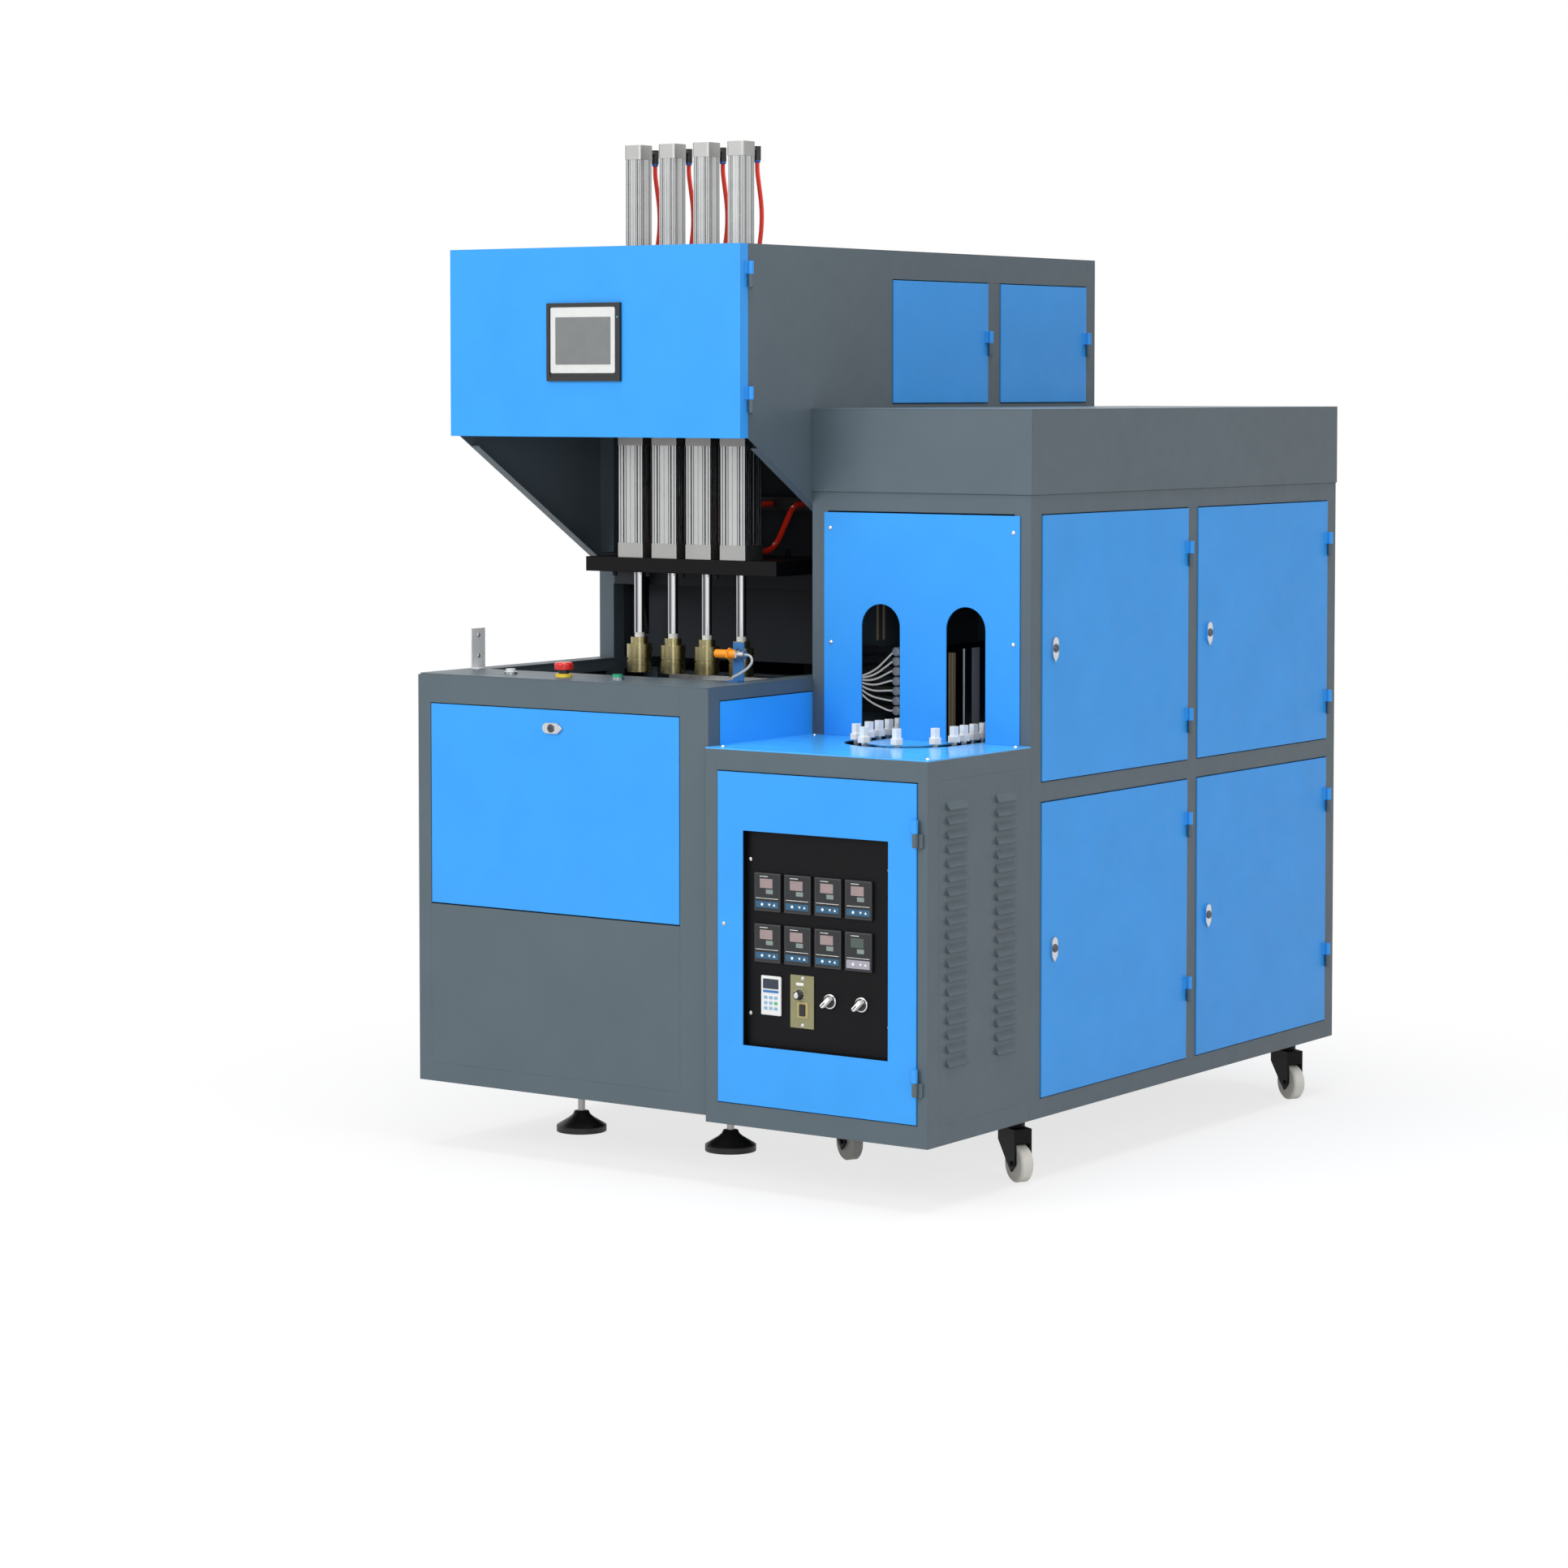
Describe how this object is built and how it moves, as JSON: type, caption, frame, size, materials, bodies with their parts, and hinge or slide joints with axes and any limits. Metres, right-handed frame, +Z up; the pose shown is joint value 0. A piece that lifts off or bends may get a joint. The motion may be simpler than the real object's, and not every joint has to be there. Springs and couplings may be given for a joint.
{
  "type": "bottle blow moulding machine",
  "caption": "Semi-automatic bottle blow moulding machine: a blow unit with a hood and a row of air cylinders over a mould clamp, and a preform heater beside it.",
  "frame": {"origin": "on the floor under the middle of the machine's box", "axes": "+X to the right along the fronts, +Y to the rear, +Z up"},
  "size_m": [1.3254, 1.7404, 2.163],
  "materials": {
    "grey_paint": "satin dark grey paint",
    "blue_paint": "satin bright blue paint",
    "black_paint": "satin black paint",
    "aluminium": "anodised extrusion",
    "black_plastic": "matt black plastic",
    "red_tube": "glossy red air tube",
    "red_plastic": "glossy red plastic",
    "orange_plastic": "glossy orange plastic",
    "white_plastic": "white plastic",
    "green_plastic": "glossy green plastic",
    "yellow_plastic": "glossy yellow plastic",
    "chrome": "hard chrome",
    "brass": "yellow zinc plating",
    "steel": "bright steel",
    "cast_iron": "painted casting",
    "nylon": "off-white nylon"
  },
  "bodies": {
    "machine": {"base_frame": "grey_paint", "blow_skins": "grey_paint", "side_panels": "blue_paint", "table_deck": "grey_paint", "cylinder_plate": "black_paint", "air_cylinders": "aluminium", "air_fittings": "black_plastic", "air_tubes": "red_tube", "sensor_bracket": "blue_paint", "photo_sensor": "orange_plastic", "leads": "white_plastic", "button_bezels": "yellow_plastic", "levelling_feet": "steel", "heater_frame": "grey_paint", "heater_skins": "grey_paint", "heater_table": "blue_paint", "arch_panel": "blue_paint", "lamp_bank": "steel", "mandrel_chain": "steel", "gear_motor": "cast_iron"},
    "hood_door": {"hood_door": "blue_paint", "touch_screen": "black_plastic"},
    "upper_door_front": {"upper_door_front": "blue_paint"},
    "upper_door_rear": {"upper_door_rear": "blue_paint"},
    "upper_side_door_front": {"upper_side_door_front": "blue_paint"},
    "lower_side_door_front": {"lower_side_door_front": "blue_paint"},
    "upper_side_door_rear": {"upper_side_door_rear": "blue_paint"},
    "lower_side_door_rear": {"lower_side_door_rear": "blue_paint"},
    "control_door": {"control_door": "blue_paint", "control_panel": "black_paint", "instruments": "black_plastic"},
    "lamp_selector": {"lamp_selector": "black_plastic"},
    "fan_selector": {"fan_selector": "black_plastic"},
    "speed_knob": {"speed_knob": "black_plastic"},
    "front_panel": {"front_panel": "blue_paint"},
    "blow_head_1": {"seal_rod_1": "chrome", "blow_head_1": "brass"},
    "blow_head_2": {"seal_rod_2": "chrome", "blow_head_2": "brass"},
    "blow_head_3": {"seal_rod_3": "chrome", "blow_head_3": "brass"},
    "blow_head_4": {"seal_rod_4": "chrome", "blow_head_4": "brass"},
    "stretch_rods": {"stretch_rods": "chrome"},
    "front_platen": {"front_platen": "steel", "tie_bars": "chrome", "clamp_cylinder": "cast_iron"},
    "rear_platen": {"rear_platen": "steel"},
    "left_button": {"left_button": "white_plastic"},
    "right_button": {"right_button": "green_plastic"},
    "stop_head": {"stop_head": "red_plastic"},
    "drive_sprocket": {"drive_sprocket": "steel"},
    "caster_fork_1": {"caster_fork_1": "black_paint"},
    "caster_wheel_1": {"caster_wheel_1": "nylon"},
    "caster_fork_2": {"caster_fork_2": "black_paint"},
    "caster_wheel_2": {"caster_wheel_2": "nylon"},
    "caster_fork_3": {"caster_fork_3": "black_paint"},
    "caster_wheel_3": {"caster_wheel_3": "nylon"},
    "caster_fork_4": {"caster_fork_4": "black_paint"},
    "caster_wheel_4": {"caster_wheel_4": "nylon"}
  },
  "joints": [
    {"name": "hood_door_hinge", "type": "hinge", "parent": "machine", "child": "hood_door", "pos_m": [0.1137, -0.7038, 1.7295], "axis": [0, 0, 1], "range_deg": [0, 105]},
    {"name": "upper_door_front_hinge", "type": "hinge", "parent": "machine", "child": "upper_door_front", "pos_m": [0.1157, 0.2234, 1.733], "axis": [0, 0, 1], "range_deg": [0, 105]},
    {"name": "upper_door_rear_hinge", "type": "hinge", "parent": "machine", "child": "upper_door_rear", "pos_m": [0.1157, 0.6532, 1.733], "axis": [0, 0, 1], "range_deg": [0, 105]},
    {"name": "upper_side_door_front_hinge", "type": "hinge", "parent": "machine", "child": "upper_side_door_front", "pos_m": [0.6567, 0.1787, 1.0935], "axis": [0, 0, 1], "range_deg": [0, 105]},
    {"name": "lower_side_door_front_hinge", "type": "hinge", "parent": "machine", "child": "lower_side_door_front", "pos_m": [0.6567, 0.1787, 0.5055], "axis": [0, 0, 1], "range_deg": [0, 105]},
    {"name": "upper_side_door_rear_hinge", "type": "hinge", "parent": "machine", "child": "upper_side_door_rear", "pos_m": [0.6567, 0.8292, 1.0935], "axis": [0, 0, 1], "range_deg": [0, 105]},
    {"name": "lower_side_door_rear_hinge", "type": "hinge", "parent": "machine", "child": "lower_side_door_rear", "pos_m": [0.6567, 0.8292, 0.5055], "axis": [0, 0, 1], "range_deg": [0, 105]},
    {"name": "control_door_hinge", "type": "hinge", "parent": "machine", "child": "control_door", "pos_m": [0.6233, -0.8642, 0.51], "axis": [0, 0, 1], "range_deg": [0, 105]},
    {"name": "lamp_selector_turn", "type": "hinge", "parent": "control_door", "child": "lamp_selector", "pos_m": [0.4073, -0.8428, 0.404], "axis": [0, -1, 0], "range_deg": [-45, 45]},
    {"name": "fan_selector_turn", "type": "hinge", "parent": "control_door", "child": "fan_selector", "pos_m": [0.4833, -0.8428, 0.404], "axis": [0, -1, 0], "range_deg": [-45, 45]},
    {"name": "speed_knob_turn", "type": "hinge", "parent": "control_door", "child": "speed_knob", "pos_m": [0.3333, -0.8428, 0.411], "axis": [0, -1, 0], "range_deg": [-135, 135]},
    {"name": "front_panel_tilt", "type": "hinge", "parent": "machine", "child": "front_panel", "pos_m": [-0.2777, -0.8408, 0.535], "axis": [1, 0, 0], "range_deg": [0, 60]},
    {"name": "blow_head_1_lift", "type": "slide", "parent": "machine", "child": "blow_head_1", "axis": [0, 0, 1], "range_m": [0, 0.12]},
    {"name": "blow_head_2_lift", "type": "slide", "parent": "machine", "child": "blow_head_2", "axis": [0, 0, 1], "range_m": [0, 0.12]},
    {"name": "blow_head_3_lift", "type": "slide", "parent": "machine", "child": "blow_head_3", "axis": [0, 0, 1], "range_m": [0, 0.12]},
    {"name": "blow_head_4_lift", "type": "slide", "parent": "machine", "child": "blow_head_4", "axis": [0, 0, 1], "range_m": [0, 0.12]},
    {"name": "stretch_rods_stroke", "type": "slide", "parent": "machine", "child": "stretch_rods", "axis": [0, 0, -1], "range_m": [0, 0.3]},
    {"name": "front_platen_slide", "type": "slide", "parent": "machine", "child": "front_platen", "axis": [0, 1, 0], "range_m": [0, 0.1]},
    {"name": "rear_platen_slide", "type": "slide", "parent": "machine", "child": "rear_platen", "axis": [0, 1, 0], "range_m": [-0.1, 0]},
    {"name": "left_button_press", "type": "slide", "parent": "machine", "child": "left_button", "axis": [0, 0, -1], "range_m": [0, 0.003], "stiffness_N_per_m": 800},
    {"name": "right_button_press", "type": "slide", "parent": "machine", "child": "right_button", "axis": [0, 0, -1], "range_m": [0, 0.003], "stiffness_N_per_m": 800},
    {"name": "stop_head_press", "type": "slide", "parent": "machine", "child": "stop_head", "axis": [0, 0, -1], "range_m": [0, 0.004], "stiffness_N_per_m": 1500},
    {"name": "drive_sprocket_turn", "type": "hinge", "parent": "machine", "child": "drive_sprocket", "pos_m": [0.3873, 0.7142, 0.858], "axis": [0, 0, 1], "continuous": true},
    {"name": "caster_1_swivel", "type": "hinge", "parent": "machine", "child": "caster_fork_1", "pos_m": [0.1673, -0.4408, 0.126], "axis": [0, 0, 1], "continuous": true},
    {"name": "caster_1_roll", "type": "hinge", "parent": "caster_fork_1", "child": "caster_wheel_1", "pos_m": [0.19328, -0.4558, 0.039], "axis": [0.5, 0.866, 0], "continuous": true},
    {"name": "caster_2_swivel", "type": "hinge", "parent": "machine", "child": "caster_fork_2", "pos_m": [0.1673, 0.7492, 0.126], "axis": [0, 0, 1], "continuous": true},
    {"name": "caster_2_roll", "type": "hinge", "parent": "caster_fork_2", "child": "caster_wheel_2", "pos_m": [0.19328, 0.7342, 0.039], "axis": [0.5, 0.866, 0], "continuous": true},
    {"name": "caster_3_swivel", "type": "hinge", "parent": "machine", "child": "caster_fork_3", "pos_m": [0.5883, -0.4408, 0.126], "axis": [0, 0, 1], "continuous": true},
    {"name": "caster_3_roll", "type": "hinge", "parent": "caster_fork_3", "child": "caster_wheel_3", "pos_m": [0.61428, -0.4558, 0.039], "axis": [0.5, 0.866, 0], "continuous": true},
    {"name": "caster_4_swivel", "type": "hinge", "parent": "machine", "child": "caster_fork_4", "pos_m": [0.5883, 0.7492, 0.126], "axis": [0, 0, 1], "continuous": true},
    {"name": "caster_4_roll", "type": "hinge", "parent": "caster_fork_4", "child": "caster_wheel_4", "pos_m": [0.61428, 0.7342, 0.039], "axis": [0.5, 0.866, 0], "continuous": true}
  ],
  "couplings": [
    {"joint": "blow_head_2_lift", "follows": "blow_head_1_lift", "ratio": 1},
    {"joint": "blow_head_3_lift", "follows": "blow_head_1_lift", "ratio": 1},
    {"joint": "blow_head_4_lift", "follows": "blow_head_1_lift", "ratio": 1},
    {"joint": "rear_platen_slide", "follows": "front_platen_slide", "ratio": -1}
  ]
}
